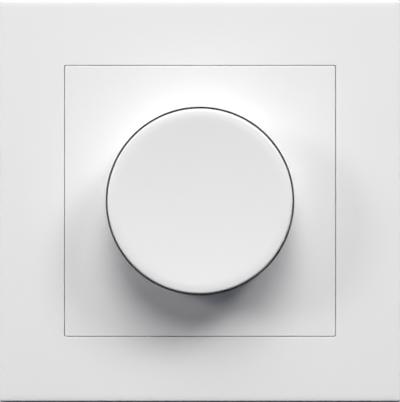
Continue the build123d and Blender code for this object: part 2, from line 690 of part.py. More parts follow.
def make_choke_winding():
    """Turns of copper wire round the core, each a loop in a plane through its axis."""
    deep = CHOKE_CORE_T + 2 * SEAT_GAP
    wide = CHOKE_CORE_R - CHOKE_HOLE_R + 2 * SEAT_GAP
    middle = (CHOKE_CORE_R + CHOKE_HOLE_R) / 2
    loop = Rectangle(wide + 2 * CHOKE_WIRE, deep + 2 * CHOKE_WIRE) - Rectangle(wide, deep)
    centre_z = Z_BOARD_REAR - CHOKE_WIRE - SEAT_GAP - CHOKE_CORE_T / 2
    turn = Pos(middle, CHOKE_WIRE / 2, 0) * extrude(Plane.XZ * loop, amount=CHOKE_WIRE)
    step = CHOKE_ARC_DEG / CHOKE_TURNS
    place = Pos(*CHOKE_AT, centre_z)
    return [place * Rot(0, 0, i * step) * turn for i in range(CHOKE_TURNS)]


def make_suppression_capacitor():
    """Moulded film capacitor standing on the board."""
    rear = Z_BOARD_REAR - FILM_H
    case = block(FILM_W, FILM_L, rear, Z_BOARD_REAR, (FILM_X, 0))
    return fillet(case.faces().sort_by(Axis.Z)[0].edges(), FILM_EDGE_R)


def make_storage_capacitor():
    """Can with a crimped neck near the board."""
    rear = Z_BOARD_REAR - STORE_H
    neck_front = Z_BOARD_REAR - STORE_NECK_DEPTH
    can = disc(STORE_R, rear, Z_BOARD_REAR, STORE_AT)
    neck = disc(STORE_R, neck_front - STORE_NECK_W, neck_front, STORE_AT)
    neck -= disc(STORE_R - STORE_CRIMP, rear, Z_BOARD_REAR, STORE_AT)
    return chamfer((can - neck).edges().group_by(Axis.Z)[0], STORE_CRIMP)


def make_fuse_tube():
    """Glass tube of the fuse link."""
    half = FUSE_L / 2 - FUSE_CAP_T
    return rod_y(FUSE_R - FUSE_CAP_T - TOUCH_GAP, -half, half, FUSE_X, Z_FUSE)


def make_fuse_caps():
    """Metal cap on each end of the fuse link."""
    half = FUSE_L / 2
    cap = rod_y(FUSE_R, half - FUSE_CAP_L, half, FUSE_X, Z_FUSE)
    cap -= rod_y(FUSE_R - FUSE_CAP_T, half - FUSE_CAP_L, half - FUSE_CAP_T + TOUCH_GAP, FUSE_X, Z_FUSE)
    return [cap, mirror(cap, about=Plane.XZ)]


def make_fuse_clips():
    """Sprung cheeks on the board that hold the fuse by its caps."""
    inner = 2 * (FUSE_R + TOUCH_GAP)
    outer = inner + 2 * FUSE_CLIP_T
    rise = FUSE_CLIP_RISE + FUSE_R + FUSE_R / 2
    back = Z_BOARD_REAR - FUSE_CLIP_T
    y = FUSE_L / 2 - FUSE_CAP_L / 2
    clip = block(outer, FUSE_CLIP_W, back - rise, Z_BOARD_REAR, (FUSE_X, y))
    clip -= block(inner, FUSE_CLIP_W, back - rise, back, (FUSE_X, y))
    return [clip, mirror(clip, about=Plane.XZ)]


def make_terminal_clamps():
    """Brass blocks with a wire bore from the rear, a screw hole from below and a leg to the board."""
    front = Z_CLAMP_REAR + CLAMP_L
    clamp = block(CLAMP_W, CLAMP_H, Z_CLAMP_REAR, front, (0, CLAMP_BOTTOM + CLAMP_H / 2))
    leg_at = (0, CLAMP_BOTTOM + CLAMP_H - CLAMP_LEG_T / 2)
    clamp += block(CLAMP_LEG_W, CLAMP_LEG_T, front, Z_BOARD_REAR, leg_at)
    clamp -= disc(WIRE_R, Z_CLAMP_REAR, Z_CLAMP_REAR + WIRE_DEPTH, (0, WIRE_Y))
    clamp -= rod_y(CLAMP_SCREW_R + SEAT_GAP, CLAMP_BOTTOM, WIRE_Y, 0, Z_CLAMP_SCREW)
    return [Pos(x, 0, 0) * clamp for x in CLAMP_XS]


def make_terminal_screws():
    """Clamp screws, backed off clear of the wire bores."""
    tip = WIRE_Y - WIRE_R - SEAT_GAP
    screw = rod_y(CLAMP_SCREW_R, CLAMP_BOTTOM, tip, 0, Z_CLAMP_SCREW)
    screw += rod_y(CLAMP_SCREW_HEAD_R, -INSERT_BOTTOM, CLAMP_BOTTOM, 0, Z_CLAMP_SCREW)
    slot_deep = Pos(0, -INSERT_BOTTOM, Z_CLAMP_SCREW) * Box(
        2 * CLAMP_SCREW_HEAD_R, 2 * SCREW_SLOT_DEPTH, SCREW_SLOT_W)
    return [Pos(x, 0, 0) * (screw - slot_deep) for x in CLAMP_XS]


def make_trimmer_body():
    """Square base of the minimum-level trimmer."""
    front = Z_BOARD + TRIMMER_T
    body = block(TRIMMER_SIDE, TRIMMER_SIDE, Z_BOARD, front, TRIMMER_AT)
    return body - disc(TRIMMER_PIVOT_R + RUN_GAP, Z_BOARD, front, TRIMMER_AT)


def make_trimmer_rotor():
    """Slotted disc turned with a screwdriver through the front wall."""
    rear = Z_BOARD + TRIMMER_T + SEAT_GAP
    front = rear + TRIMMER_ROTOR_T
    rotor = disc(TRIMMER_ROTOR_R, rear, front, TRIMMER_AT)
    rotor += disc(TRIMMER_PIVOT_R, Z_BOARD + SEAT_GAP, rear, TRIMMER_AT)
    return rotor - block(2 * TRIMMER_ROTOR_R, TRIMMER_SLOT_W, front - TRIMMER_SLOT_W, front, TRIMMER_AT)


def make_control_chip():
    """Small controller with a row of legs on each side."""
    x, y = CHIP_AT
    chip = block(CHIP_W, CHIP_L, Z_BOARD + CHIP_LEG_T, Z_BOARD + CHIP_T, CHIP_AT)
    leg_l = CHIP_L + 2 * CHIP_LEG_REACH
    for place in range(CHIP_LEG_PAIRS):
        leg_at = (x + (place - (CHIP_LEG_PAIRS - 1) / 2) * CHIP_LEG_PITCH, y)
        chip += block(CHIP_LEG_W, leg_l, Z_BOARD, Z_BOARD + CHIP_LEG_T, leg_at)
    return chip


def make_resistors():
    """Row of wired resistors lying on the board."""
    lead_x = RESISTOR_L / 2 + RESISTOR_LEAD_REACH
    height = Z_BOARD + RESISTOR_R
    body = Pos(-RESISTOR_L / 2, 0, height) * Rot(0, 90, 0) * disc(RESISTOR_R, 0, RESISTOR_L)
    body += Pos(0, 0, height) * Box(2 * lead_x, RESISTOR_LEAD, RESISTOR_LEAD)
    for side in (-1, 1):
        leg_at = (side * (lead_x - RESISTOR_LEAD / 2), 0)
        body += block(RESISTOR_LEAD, RESISTOR_LEAD, Z_BOARD, height, leg_at)
    return [Pos(0, RESISTOR_Y - i * RESISTOR_PITCH, 0) * body for i in range(RESISTOR_COUNT)]


def make_claw():
    """Right-hand claw: a sheet lever with an eye on the pin, a lug on the screw and a toothed leg."""
    half_t = CLAW_T / 2
    claw = rod_y(CLAW_EYE_R, -CLAW_WIDTH / 2, CLAW_WIDTH / 2, 0, 0)
    lug = Pos(CLAW_LUG_L / 2, 0) * Rectangle(CLAW_LUG_L, CLAW_WIDTH)
    lug -= Pos(CLAW_LEVER, 0) * Circle(CLAW_SCREW_HOLE_R)
    claw += Rot(0, CLAW_SWING_DEG / 2, 0) * slab(lug, -half_t, half_t)
    arm_x = -CLAW_ARM_OFFSET
    claw += Pos(arm_x, 0, -CLAW_ARM_L / 2) * Box(CLAW_T, CLAW_WIDTH, CLAW_ARM_L)
    claw += rod_y(half_t, -CLAW_WIDTH / 2, CLAW_WIDTH / 2, arm_x, -CLAW_ARM_L)
    tooth_w = CLAW_WIDTH / CLAW_TOOTH_COUNT
    leg = Pos(CLAW_TOOTH_L / 2, 0) * Rectangle(CLAW_TOOTH_L, CLAW_WIDTH)
    for i in range(CLAW_TOOTH_COUNT + 1):
        y = (i - CLAW_TOOTH_COUNT / 2) * tooth_w
        notch = Polyline((CLAW_TOOTH_L, y - tooth_w / 2), (CLAW_TOOTH_L - CLAW_TOOTH_DEPTH, y),
                         (CLAW_TOOTH_L, y + tooth_w / 2), close=True)
        leg -= make_face(notch)
    claw += Pos(arm_x, 0, -CLAW_ARM_L) * Rot(0, CLAW_TOOTH_DEG, 0) * slab(leg, -half_t, half_t)
    claw -= rod_y(CLAW_PIN_R + RUN_GAP, -CLAW_WIDTH / 2, CLAW_WIDTH / 2, 0, 0)
    return Pos(PIN_X, 0, Z_PIN) * claw


def make_claw_pins():
    """Pins through the housing's ears, one for each claw."""
    reach = EAR_INNER + CLAW_EAR_T
    return [rod_y(CLAW_PIN_R, -reach, reach, x, Z_PIN) for x in (-PIN_X, PIN_X)]


def make_claw_screw():
    """Right-hand claw screw, with its slotted head on the support ring."""
    head = Z_RING + CLAW_SCREW_HEAD_T
    screw = disc(CLAW_SCREW_R, Z_PIN - CLAW_SCREW_PAST_PIN, Z_RING) + disc(CLAW_SCREW_HEAD_R, Z_RING, head)
    screw -= block(2 * CLAW_SCREW_HEAD_R, SCREW_SLOT_W, head - SCREW_SLOT_DEPTH, head)
    return Pos(CLAW_SCREW_X, 0, 0) * screw


PIECES = {
    "cover_frame": make_cover_frame(),
    "centre_plate": make_centre_plate(),
    "rotary_knob": make_rotary_knob(),
    "knob_grip_spring": make_knob_grip_spring(),
    "spindle_nut": make_spindle_nut(),
    "threaded_bush": make_threaded_bush(),
    "spindle": make_spindle(),
    "spindle_circlip": make_spindle_circlip(),
    "support_ring": make_support_ring(),
    "front_housing": make_front_housing(),
    "rear_housing": make_rear_housing(),
    "housing_screws": make_housing_screws(),
    "pot_body": make_pot_body(),
    "pot_track": make_pot_track(),
    "pot_rotor": make_pot_rotor(),
    "pot_wiper": make_pot_wiper(),
    "circuit_board": make_circuit_board(),
    "switch_body": make_switch_body(),
    "switch_plunger": make_switch_plunger(),
    "switch_spring": make_switch_spring(),
    "contact_bridge": make_contact_bridge(),
    "fixed_contacts": make_fixed_contacts(),
    "heat_sink_plate": make_heat_sink_plate(),
    "insulating_pad": make_insulating_pad(),
    "triac": make_triac(),
    "choke_core": make_choke_core(),
    "choke_winding": make_choke_winding(),
    "suppression_capacitor": make_suppression_capacitor(),
    "storage_capacitor": make_storage_capacitor(),
    "fuse_tube": make_fuse_tube(),
    "fuse_caps": make_fuse_caps(),
    "fuse_clips": make_fuse_clips(),
    "terminal_clamps": make_terminal_clamps(),
    "terminal_screws": make_terminal_screws(),
    "trimmer_body": make_trimmer_body(),
    "trimmer_rotor": make_trimmer_rotor(),
    "control_chip": make_control_chip(),
    "resistors": make_resistors(),
    "claw_right": make_claw(),
    "claw_left": mirror(make_claw(), about=Plane.YZ),
    "claw_pins": make_claw_pins(),
    "claw_screw_right": make_claw_screw(),
    "claw_screw_left": mirror(make_claw_screw(), about=Plane.YZ),
}

os.makedirs("parts", exist_ok=True)
for name, piece in PIECES.items():
    solids = piece if isinstance(piece, list) else [piece]
    upright = [STAND * solid for solid in solids]
    export_step(Compound(children=upright) if len(upright) > 1 else upright[0], f"parts/{name}.step")
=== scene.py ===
import json
import math

import bmesh
import bpy
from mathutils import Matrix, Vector

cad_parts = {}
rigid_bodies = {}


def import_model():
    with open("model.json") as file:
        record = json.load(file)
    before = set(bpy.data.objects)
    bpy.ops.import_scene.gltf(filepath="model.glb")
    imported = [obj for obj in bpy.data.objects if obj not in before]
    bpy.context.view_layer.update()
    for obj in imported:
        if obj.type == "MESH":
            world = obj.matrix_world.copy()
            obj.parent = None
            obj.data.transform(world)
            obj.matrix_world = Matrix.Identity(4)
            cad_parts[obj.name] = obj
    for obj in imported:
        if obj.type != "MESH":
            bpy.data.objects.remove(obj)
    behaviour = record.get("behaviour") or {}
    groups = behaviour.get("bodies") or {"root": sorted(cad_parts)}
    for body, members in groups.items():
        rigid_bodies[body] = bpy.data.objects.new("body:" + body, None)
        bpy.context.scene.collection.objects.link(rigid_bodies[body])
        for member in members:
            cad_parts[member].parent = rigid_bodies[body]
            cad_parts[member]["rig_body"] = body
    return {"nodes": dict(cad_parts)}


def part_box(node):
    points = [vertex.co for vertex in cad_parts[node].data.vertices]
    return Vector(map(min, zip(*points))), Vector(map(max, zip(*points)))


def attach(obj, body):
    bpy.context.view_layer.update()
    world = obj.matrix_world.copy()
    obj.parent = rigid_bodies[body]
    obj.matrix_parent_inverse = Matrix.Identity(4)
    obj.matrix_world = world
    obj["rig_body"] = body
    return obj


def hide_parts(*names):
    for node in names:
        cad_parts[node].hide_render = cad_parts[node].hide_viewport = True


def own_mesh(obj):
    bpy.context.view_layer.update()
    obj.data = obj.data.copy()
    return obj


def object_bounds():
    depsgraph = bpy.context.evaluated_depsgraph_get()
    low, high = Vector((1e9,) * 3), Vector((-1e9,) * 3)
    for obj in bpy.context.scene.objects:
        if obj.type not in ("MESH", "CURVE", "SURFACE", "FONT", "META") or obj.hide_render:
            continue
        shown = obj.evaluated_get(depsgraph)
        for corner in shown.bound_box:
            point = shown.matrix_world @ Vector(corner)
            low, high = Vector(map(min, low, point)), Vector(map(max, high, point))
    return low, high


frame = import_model()
cad_low, cad_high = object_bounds()


# Circuit board
# Glass laminate under green lacquer, with its copper runs showing through as a lighter green.
# It is clamped between the screw posts of the two housings.
MM = 0.001
LACQUER = (0.02, 0.16, 0.06, 1)
LACQUER_OVER_COPPER = (0.05, 0.27, 0.1, 1)
LACQUER_CLOUDS = 0.8 * MM
RUN_PITCH = 1.9 * MM
RUN_LENGTH = 6 * RUN_PITCH
RUN_WIDTH = 0.2 * RUN_PITCH
RUN_RELIEF = 0.03 * MM
CLOUD_LOW = 0.3
CLOUD_HIGH = 0.7


def new_finish(name, stretch=(1, 1, 1)):
    """A new material, with its nodes, its shader and the place that its grain is read from."""
    material = bpy.data.materials.new(name)
    material.use_nodes = True
    tree = material.node_tree
    coordinate = tree.nodes.new("ShaderNodeTexCoord")
    mapping = tree.nodes.new("ShaderNodeMapping")
    mapping.inputs["Scale"].default_value = stretch
    tree.links.new(coordinate.outputs["Object"], mapping.inputs["Vector"])
    return material, tree, tree.nodes["Principled BSDF"], mapping.outputs["Vector"]


def grain(tree, place, size, detail=2.0):
    """A cloudy pattern with patches of a size."""
    cloud = tree.nodes.new("ShaderNodeTexNoise")
    cloud.inputs["Scale"].default_value = 1 / size
    cloud.inputs["Detail"].default_value = detail
    tree.links.new(place, cloud.inputs["Vector"])
    return cloud.outputs["Fac"]


def tint(tree, pattern, low, high, shader):
    """Let the colour wander between two with a pattern."""
    ramp = tree.nodes.new("ShaderNodeValToRGB")
    first, last = ramp.color_ramp.elements
    first.position = CLOUD_LOW
    first.color = (*low, 1)
    last.position = CLOUD_HIGH
    last.color = (*high, 1)
    tree.links.new(pattern, ramp.inputs["Fac"])
    tree.links.new(ramp.outputs["Color"], shader.inputs["Base Color"])


def polish(tree, pattern, smooth, rough, shader):
    """Let the roughness wander between two values with a pattern."""
    spread = tree.nodes.new("ShaderNodeMapRange")
    spread.inputs["From Min"].default_value = CLOUD_LOW
    spread.inputs["From Max"].default_value = CLOUD_HIGH
    spread.inputs["To Min"].default_value = smooth
    spread.inputs["To Max"].default_value = rough
    tree.links.new(pattern, spread.inputs["Value"])
    tree.links.new(spread.outputs["Result"], shader.inputs["Roughness"])


def emboss(tree, pattern, depth, shader):
    """Press a pattern into the surface to a depth."""
    bump = tree.nodes.new("ShaderNodeBump")
    bump.inputs["Distance"].default_value = depth
    tree.links.new(pattern, bump.inputs["Height"])
    tree.links.new(bump.outputs["Normal"], shader.inputs["Normal"])


def coat(material, *names):
    """Give a finish to CAD nodes."""
    for name in names:
        for slot in frame["nodes"][name].material_slots:
            slot.material = material


lacquered, tree, shader, place = new_finish("green_lacquer")
upright = tree.nodes.new("ShaderNodeMapping")
upright.inputs["Rotation"].default_value = (math.radians(90), 0, 0)
tree.links.new(place, upright.inputs["Vector"])
runs = tree.nodes.new("ShaderNodeTexBrick")
runs.inputs["Scale"].default_value = 1.0
runs.inputs["Brick Width"].default_value = RUN_LENGTH
runs.inputs["Row Height"].default_value = RUN_PITCH
runs.inputs["Mortar Size"].default_value = RUN_WIDTH
runs.inputs["Color1"].default_value = LACQUER
runs.inputs["Color2"].default_value = LACQUER
runs.inputs["Mortar"].default_value = LACQUER_OVER_COPPER
tree.links.new(upright.outputs["Vector"], runs.inputs["Vector"])
tree.links.new(runs.outputs["Color"], shader.inputs["Base Color"])
polish(tree, grain(tree, place, LACQUER_CLOUDS), smooth=0.3, rough=0.42, shader=shader)
emboss(tree, runs.outputs["Fac"], RUN_RELIEF, shader)
coat(lacquered, "circuit_board")


# Plastic parts round the board
# Black epoxy packages, a boxed film capacitor, dipped resistors, the choke's coated core, the triac's
# pad and the trimmer. They have the fine grain of an eroded mould, and most are soldered on by their legs.
FLOW_SIZE = 5 * MM
FLOW_SHADE = 0.93
MOULD_GRAIN = 0.18 * MM
MOULD_DETAIL = 3.0
MOULD_DEPTH = 0.006 * MM
MOULD_SPREAD = 0.06


def moulded(name, colour, rough, depth=MOULD_DEPTH):
    """Plastic from an eroded mould: fine grain, and a faint shade where it flowed."""
    material, tree, shader, place = new_finish(name)
    pores = grain(tree, place, MOULD_GRAIN, MOULD_DETAIL)
    flow = grain(tree, place, FLOW_SIZE)
    tint(tree, flow, [FLOW_SHADE * channel for channel in colour], colour, shader)
    polish(tree, pores, rough - MOULD_SPREAD, rough + MOULD_SPREAD, shader)
    emboss(tree, pores, depth, shader)
    return material


black_epoxy = moulded("black_epoxy", (0.02, 0.02, 0.022), rough=0.5)
yellow_film_case = moulded("yellow_film_case", (0.72, 0.5, 0.05), rough=0.35)
resistor_dip = moulded("resistor_dip", (0.42, 0.55, 0.62), rough=0.4)
trimmer_case = moulded("trimmer_case", (0.03, 0.1, 0.34), rough=0.45)
thermal_pad = moulded("thermal_pad", (0.4, 0.41, 0.43), rough=0.75)
coated_ferrite = moulded("coated_ferrite", (0.07, 0.075, 0.08), rough=0.55)
nylon = moulded("natural_nylon", (0.76, 0.73, 0.64), rough=0.5)
coat(black_epoxy, "triac", "control_chip")
coat(yellow_film_case, "suppression_capacitor")
coat(resistor_dip, "resistors")
coat(trimmer_case, "trimmer_body")
coat(nylon, "trimmer_rotor")
coat(thermal_pad, "insulating_pad")
coat(coated_ferrite, "choke_core")


# Metal and glass parts round the board
# The heat sink and the capacitor's can are rolled aluminium, the winding is lacquered copper,
# and the fuse is a glass tube with nickelled caps in sprung brass clips.
STREAK_SIZE = 0.35 * MM
STREAK_DETAIL = 4.0
STREAK_DEPTH = 0.001 * MM
STREAK_SPREAD = 0.07
STAIN_SIZE = 12 * STREAK_SIZE
STAIN_SHADE = 0.94
ALONG_X = (0.08, 1, 1)
ALONG_Y = (1, 0.08, 1)
GLASS_THIN = (0.94, 0.97, 0.96)
GLASS_THICK = (0.91, 0.96, 0.95)
GLASS_WAVES = 2 * MM
GLASS_IOR = 1.5


def drawn_metal(name, colour, rough, stretch=(1, 1, 1)):
    """Bare or plated metal with fine streaks along the way it was rolled, drawn or turned."""
    material, tree, shader, place = new_finish(name, stretch)
    streaks = grain(tree, place, STREAK_SIZE, STREAK_DETAIL)
    stain = grain(tree, place, STAIN_SIZE)
    shader.inputs["Metallic"].default_value = 1.0
    tint(tree, stain, [STAIN_SHADE * channel for channel in colour], colour, shader)
    polish(tree, streaks, rough - STREAK_SPREAD, rough + STREAK_SPREAD, shader)
    emboss(tree, streaks, STREAK_DEPTH, shader)
    return material


aluminium = drawn_metal("rolled_aluminium", (0.78, 0.79, 0.8), rough=0.4, stretch=ALONG_X)
copper = drawn_metal("lacquered_copper", (0.7, 0.28, 0.12), rough=0.36, stretch=ALONG_Y)
nickel = drawn_metal("bright_nickel", (0.72, 0.7, 0.65), rough=0.18)
brass = drawn_metal("drawn_brass", (0.72, 0.5, 0.2), rough=0.36, stretch=ALONG_Y)
coat(aluminium, "heat_sink_plate", "storage_capacitor")
coat(copper, "choke_winding")
coat(nickel, "fuse_caps")
coat(brass, "fuse_clips")

glass, tree, shader, place = new_finish("fuse_glass")
waves = grain(tree, place, GLASS_WAVES)
tint(tree, waves, GLASS_THICK, GLASS_THIN, shader)
polish(tree, waves, smooth=0.02, rough=0.07, shader=shader)
shader.inputs["Transmission Weight"].default_value = 1.0
shader.inputs["IOR"].default_value = GLASS_IOR
coat(glass, "fuse_tube")


# Terminals
# Three brass blocks drawn from square bar, drilled for the wires, in pockets at the bottom of the
# insert. A plated screw from below clamps each wire.
TERMINAL_EDGE = 0.12 * MM
TERMINAL_SCREW_EDGE = 0.1 * MM
NODE_MERGE = 0.002 * MM
FLAT_WITHIN = math.radians(0.5)
SHARP_FROM = math.radians(40)
SMOOTH_BELOW = math.radians(35)
EDGE_SEGMENTS = 2
zinc = drawn_metal("zinc_plate", (0.62, 0.63, 0.66), rough=0.38, stretch=ALONG_X)


def take_up(piece):
    """Select one piece alone, so that the next operators act on it."""
    bpy.ops.object.select_all(action="DESELECT")
    piece.select_set(True)
    bpy.context.view_layer.objects.active = piece


def hand_over(piece, material, body, node):
    """Finish a piece: its shading, its material, the body it rides on and the node it stands for."""
    take_up(piece)
    bpy.ops.object.shade_smooth_by_angle(angle=SMOOTH_BELOW)
    flat_faces = piece.modifiers.new("flat_faces", "WEIGHTED_NORMAL")
    flat_faces.keep_sharp = True
    bpy.ops.object.modifier_apply(modifier=flat_faces.name)
    piece.data.materials.clear()
    piece.data.materials.append(material)
    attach(piece, body)
    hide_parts(node)


def soften(name, material, edge):
    """Copy a CAD node and break its edges, as tools and moulds leave them."""
    source = frame["nodes"][name]
    piece = bpy.data.objects.new(name + "_finished", source.data.copy())
    bpy.context.scene.collection.objects.link(piece)
    take_up(piece)
    bpy.ops.object.mode_set(mode="EDIT")
    bpy.ops.mesh.select_all(action="SELECT")
    bpy.ops.mesh.remove_doubles(threshold=NODE_MERGE)
    bpy.ops.mesh.dissolve_limited(angle_limit=FLAT_WITHIN)
    bpy.ops.object.mode_set(mode="OBJECT")
    broken_edges = piece.modifiers.new("broken_edges", "BEVEL")
    broken_edges.width = edge
    broken_edges.segments = EDGE_SEGMENTS
    broken_edges.limit_method = "ANGLE"
    broken_edges.angle_limit = SHARP_FROM
    bpy.ops.object.modifier_apply(modifier=broken_edges.name)
    hand_over(piece, material, source["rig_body"], name)


soften("terminal_clamps", brass, TERMINAL_EDGE)
soften("terminal_screws", zinc, TERMINAL_SCREW_EDGE)


# Potentiometer and push switch
# The spindle turns the rotor between the pot's can and its pressed-paper track, and its end
# presses the plunger, whose steel coil pushes it back.
SPRING_LOW, SPRING_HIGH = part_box("switch_spring")
SPRING_R = 2.4 * MM
SPRING_WIRE = 0.25 * MM
SPRING_HALF_TURNS = 7
WIRE_SIDES = 12
COIL_STEPS = 20
LOOP_MERGE = 0.001 * MM
spring_length = SPRING_HIGH.y - SPRING_LOW.y


def merge_loops():
    """Merge the corners that lie at one place, all over the piece being drawn."""
    bpy.ops.mesh.select_all(action="SELECT")
    bpy.ops.mesh.remove_doubles(threshold=LOOP_MERGE)


def close_piece():
    """End the drawing: merge the last loop with the first and turn all faces outwards."""
    merge_loops()
    bpy.ops.mesh.normals_make_consistent(inside=False)
    bpy.ops.object.mode_set(mode="OBJECT")


black_case = moulded("black_case", (0.03, 0.03, 0.032), rough=0.48)
pressed_paper = moulded("pressed_paper", (0.26, 0.12, 0.05), rough=0.6)
spring_steel = drawn_metal("spring_steel", (0.5, 0.5, 0.52), rough=0.36, stretch=ALONG_Y)
coat(black_case, "pot_body", "switch_body")
coat(pressed_paper, "pot_track")
coat(nylon, "pot_rotor", "switch_plunger")
coat(brass, "pot_wiper", "contact_bridge", "fixed_contacts")

bpy.ops.object.select_all(action="DESELECT")
bpy.ops.mesh.primitive_circle_add(
    vertices=WIRE_SIDES, radius=SPRING_WIRE, location=(SPRING_R, SPRING_LOW.y + SPRING_WIRE, 0))
spring = bpy.context.active_object
spring.name = "coiled_switch_spring"
bpy.ops.object.transform_apply(location=True, rotation=True, scale=True)
wound = spring.modifiers.new("wound", "SCREW")
wound.axis = "Y"
wound.angle = math.radians(180)
wound.screw_offset = (spring_length - 2 * SPRING_WIRE) / SPRING_HALF_TURNS
wound.iterations = SPRING_HALF_TURNS
wound.steps = COIL_STEPS
wound.render_steps = COIL_STEPS
bpy.ops.object.modifier_apply(modifier=wound.name)
bpy.ops.object.mode_set(mode="EDIT")
merge_loops()
bpy.ops.mesh.fill_holes(sides=WIRE_SIDES)
close_piece()
hand_over(spring, spring_steel, "base", "switch_spring")
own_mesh(spring)


# Housings of the insert
# Two mouldings that meet at the board's middle: a light grey front with the boss for the bush, and
# a dark grey rear with the vents, the claws' ears and the terminal pockets.
FRONT_EDGE = 0.15 * MM
REAR_EDGE = 0.2 * MM
REAR_GRAIN_DEPTH = 0.01 * MM
HOUSING_SCREW_EDGE = 0.12 * MM
front_grey = moulded("front_housing_grey", (0.5, 0.51, 0.52), rough=0.46)
rear_grey = moulded("rear_housing_grey", (0.075, 0.077, 0.08), rough=0.44, depth=REAR_GRAIN_DEPTH)
soften("front_housing", front_grey, FRONT_EDGE)
soften("rear_housing", rear_grey, REAR_EDGE)
soften("housing_screws", zinc, HOUSING_SCREW_EDGE)


# Support ring
# Stamped from zinc-plated steel strip, with slots for the box screws and bent lugs that centre the
# cover frame. The insert's boss fills its opening and four screws hold it there.
RING_EDGE = 0.1 * MM
soften("support_ring", zinc, RING_EDGE)


# Spreading claws
# Bent steel levers on turned pins in the insert's ears. Turning its screw draws a claw's lug forward,
# and its teeth swing out into the wall of the box.
CLAW_EDGE = 0.1 * MM
PIN_EDGE = 0.12 * MM
turned_steel = drawn_metal("turned_steel", (0.58, 0.58, 0.6), rough=0.36, stretch=ALONG_Y)
for claw in ("claw_right", "claw_left"):
    soften(claw, zinc, CLAW_EDGE)
soften("claw_pins", turned_steel, PIN_EDGE)


# Claw screws
# Slotted steel screws with a rolled thread. The head sits on the support ring, and is reached from the
# front once the frame is off.
SCREW_LOW, SCREW_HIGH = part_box("claw_screw_right")
SCREW_X = (SCREW_LOW.x + SCREW_HIGH.x) / 2
SCREW_HEAD_R = (SCREW_HIGH.x - SCREW_LOW.x) / 2
SCREW_HEAD = 1.7 * MM
SCREW_HEAD_RIM = 0.4 * MM
SCREW_R = 1.5 * MM
SCREW_NECK = 2.0 * MM
SCREW_TIP = 0.6 * MM
SCREW_SLOT = 0.7 * MM
THREAD_PITCH = 0.5 * MM
THREAD_DEPTH = 0.28 * MM
THREAD_STEPS = 24
HEAD_RIM_STEPS = 5
core_r = SCREW_R - THREAD_DEPTH
head_under = SCREW_LOW.y + SCREW_HEAD
thread_from = head_under + SCREW_NECK
thread_to = SCREW_HIGH.y - SCREW_TIP
neck_to = thread_from - THREAD_PITCH / 2
thread_middle = (thread_from + thread_to) / 2


def draw_thread(name):
    """Begin a piece as a right-hand thread about the axis, open at both ends."""
    bpy.ops.object.select_all(action="DESELECT")
    bpy.ops.mesh.primitive_plane_add(size=THREAD_PITCH)
    piece = bpy.context.active_object
    piece.name = name
    bpy.ops.object.mode_set(mode="EDIT")
    bpy.ops.mesh.select_mode(type="VERT")
    bpy.ops.mesh.select_all(action="SELECT")
    bpy.ops.mesh.merge(type="CENTER")
    bpy.ops.transform.translate(value=(core_r, thread_from, 0))
    for outward in (THREAD_DEPTH, -THREAD_DEPTH):
        bpy.ops.mesh.extrude_vertices_move(
            TRANSFORM_OT_translate={"value": (outward, THREAD_PITCH / 2, 0)})
    bpy.ops.object.mode_set(mode="OBJECT")
    coil = piece.modifiers.new("coil", "SCREW")
    coil.axis = "Y"
    coil.screw_offset = THREAD_PITCH
    coil.iterations = int((thread_to - thread_from) / THREAD_PITCH)
    coil.steps = THREAD_STEPS
    coil.render_steps = THREAD_STEPS
    bpy.ops.object.modifier_apply(modifier=coil.name)
    bpy.ops.object.mode_set(mode="EDIT")
    bpy.ops.mesh.select_mode(type="EDGE")
    merge_loops()
    return piece


def pick_end(y, rear):
    """Select the open end that lies in front of a depth, or behind it."""
    bpy.ops.mesh.select_all(action="DESELECT")
    mesh = bmesh.from_edit_mesh(bpy.context.edit_object.data)
    for edge in mesh.edges:
        edge.select_set(edge.is_boundary and (edge.verts[0].co.y > y) == rear)
    bmesh.update_edit_mesh(bpy.context.edit_object.data)


def round_off(radius, y):
    """Draw the selected loop on to a round one at a depth."""
    bpy.ops.mesh.extrude_edges_move()
    bpy.ops.transform.resize(value=(1, 0, 1), center_override=(0, y, 0))
    bpy.ops.transform.tosphere(value=1, center_override=(0, y, 0))
    mesh = bmesh.from_edit_mesh(bpy.context.edit_object.data)
    on_loop = next(vertex.co for vertex in mesh.verts if vertex.select)
    scale = radius / Vector((on_loop.x, on_loop.z)).length
    bpy.ops.transform.resize(value=(scale, 1, scale), center_override=(0, 0, 0))


def rim_arc(size, y, radius, steps):
    """Stations round a front edge, from the face to the side. An opening's edge has a radius below 0."""
    stations = []
    for step in range(steps + 1):
        angle = math.radians(90) * step / steps
        stations.append((size - radius * (1 - math.sin(angle)), y + abs(radius) * (1 - math.cos(angle))))
    return stations


def draw_loops(stations):
    """Draw the selected loop through stations of (half width or radius, y)."""
    for (size, y), (next_size, next_y) in zip(stations, stations[1:]):
        bpy.ops.mesh.extrude_edges_move(TRANSFORM_OT_translate={"value": (0, next_y - y, 0)})
        scale = next_size / size
        bpy.ops.transform.resize(value=(scale, 1, scale), center_override=(0, 0, 0))


def bar(low, high, turn=0.0):
    """A square-edged bar between two corners, turned about the axis, for joining to a piece."""
    bpy.ops.object.select_all(action="DESELECT")
    bpy.ops.mesh.primitive_cube_add(size=1, location=(low + high) / 2)
    made = bpy.context.active_object
    made.scale = high - low
    bpy.ops.object.transform_apply(location=True, rotation=True, scale=True)
    made.rotation_euler = (0, turn, 0)
    bpy.ops.object.transform_apply(location=False, rotation=True, scale=False)
    return made


def combine(piece, tools, operation):
    """Join tools to a piece, or cut them out of it."""
    for tool in tools:
        take_up(piece)
        joint = piece.modifiers.new("joint", "BOOLEAN")
        joint.operation = operation
        joint.object = tool
        joint.solver = "EXACT"
        bpy.ops.object.modifier_apply(modifier=joint.name)
        bpy.data.objects.remove(tool)


